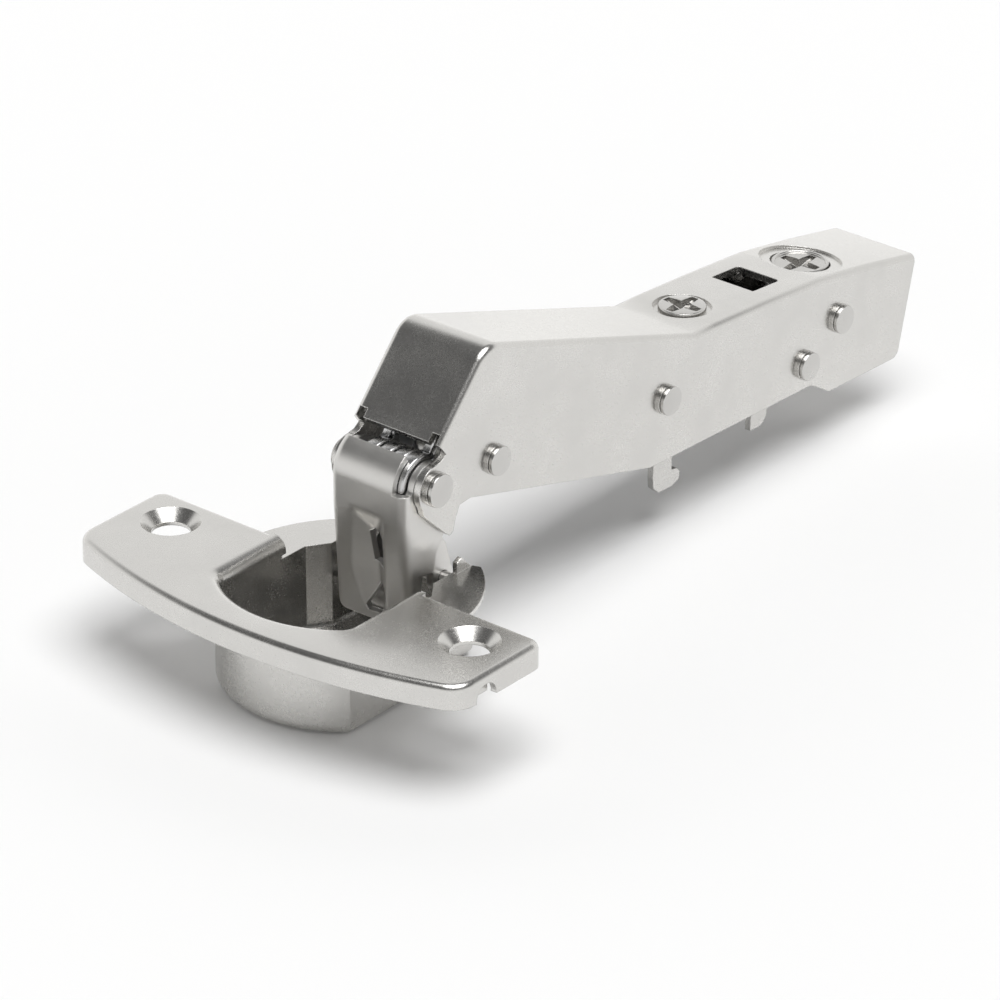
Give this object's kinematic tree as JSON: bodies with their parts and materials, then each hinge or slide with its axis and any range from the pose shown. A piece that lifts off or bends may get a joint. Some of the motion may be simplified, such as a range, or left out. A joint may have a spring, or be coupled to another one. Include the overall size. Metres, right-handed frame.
{
  "type": "concealed cup hinge",
  "caption": "Concealed cup hinge for a cabinet door: flanged cup, linked arm with raised damper front, side and depth screws, clip-on carriage, shown open.",
  "frame": {"origin": "on the cup's axis, in the plane of the door face under the flange", "axes": "+Z out of the door along the cup's axis, +X towards the arm, Y along the line of the two screw holes"},
  "size_m": [0.1384, 0.0668, 0.0424],
  "materials": {
    "nickel_sheet": "satin nickel plate",
    "nickel_pin": "nickel plate, turned heads",
    "spring_steel": "nickel-plated spring steel",
    "screw_steel": "bright plated screw",
    "polymer": "grey acetal"
  },
  "bodies": {
    "cup_body": {"cup": "nickel_sheet", "cup_pin_rear": "nickel_pin", "cup_pin_front": "nickel_pin"},
    "outer_link_body": {"outer_link": "nickel_sheet"},
    "inner_link_body": {"inner_link": "nickel_sheet"},
    "arm_body": {"arm": "nickel_sheet", "front_pin": "nickel_pin", "spring_sleeve": "polymer", "torsion_spring": "spring_steel", "second_pin": "nickel_pin", "near_washer": "polymer", "far_washer": "polymer", "damper_pin": "nickel_pin", "damper_cylinder": "polymer", "guide_pin": "nickel_pin", "tilt_pin": "nickel_pin"},
    "plunger_body": {"damper_plunger": "polymer"},
    "tilt_body": {"tilt_plate": "nickel_sheet", "side_nut": "nickel_pin"},
    "carriage_body": {"clip_carriage": "nickel_sheet", "catch_pin": "nickel_pin", "catch_spring": "spring_steel"},
    "side_screw_body": {"side_screw": "screw_steel"},
    "cam_body": {"depth_cam": "screw_steel"},
    "catch_body": {"release_catch": "nickel_sheet"}
  },
  "joints": [
    {"name": "outer_link_swing", "type": "hinge", "parent": "cup_body", "child": "outer_link_body", "pos_m": [0.01332, 0, -0.002], "axis": [0, -1, 0], "range_deg": [0, 71.26]},
    {"name": "arm_swing", "type": "hinge", "parent": "outer_link_body", "child": "arm_body", "pos_m": [0.00956, 0, 0.01343], "axis": [0, -1, 0], "range_deg": [0, 20.74]},
    {"name": "inner_link_swing", "type": "hinge", "parent": "cup_body", "child": "inner_link_body", "pos_m": [0.01069, 0, -0.006], "axis": [0, -1, 0], "range_deg": [0, 67.1]},
    {"name": "damper_stroke", "type": "slide", "parent": "arm_body", "child": "plunger_body", "axis": [0.9426, 0, -0.3338], "range_m": [0, 0.00294]},
    {"name": "side_screw_turn", "type": "hinge", "parent": "arm_body", "child": "side_screw_body", "pos_m": [0.07132, 0, 0.01117], "axis": [0.0366, 0, 0.9993], "range_deg": [-361.5, 361.5]},
    {"name": "arm_tilt", "type": "hinge", "parent": "arm_body", "child": "tilt_body", "pos_m": [0.09798, 0, 0.0055], "axis": [0, -1, 0], "range_deg": [-1.5, 1.5]},
    {"name": "depth_cam_turn", "type": "hinge", "parent": "tilt_body", "child": "cam_body", "pos_m": [0.0985, 0, 0.01017], "axis": [0.0366, 0, 0.9993], "range_deg": [-60.1, 60.1]},
    {"name": "depth_slide", "type": "slide", "parent": "tilt_body", "child": "carriage_body", "axis": [0.9993, 0, -0.0366], "range_m": [-0.002, 0.002]},
    {"name": "catch_release", "type": "hinge", "parent": "carriage_body", "child": "catch_body", "pos_m": [0.10495, 0, 0.00053], "axis": [0, -1, 0], "range_deg": [0, 12], "stiffness_Nm_per_rad": 0.015, "springref_deg": -17.19}
  ],
  "couplings": [
    {"joint": "arm_swing", "follows": "outer_link_swing", "ratio": 0.29103},
    {"joint": "inner_link_swing", "follows": "outer_link_swing", "ratio": 0.94158},
    {"joint": "damper_stroke", "follows": "outer_link_swing", "m_per_rad": 0.0023576},
    {"joint": "side_screw_turn", "follows": "arm_tilt", "ratio": 240},
    {"joint": "depth_cam_turn", "follows": "depth_slide", "rad_per_m": -523.6}
  ]
}
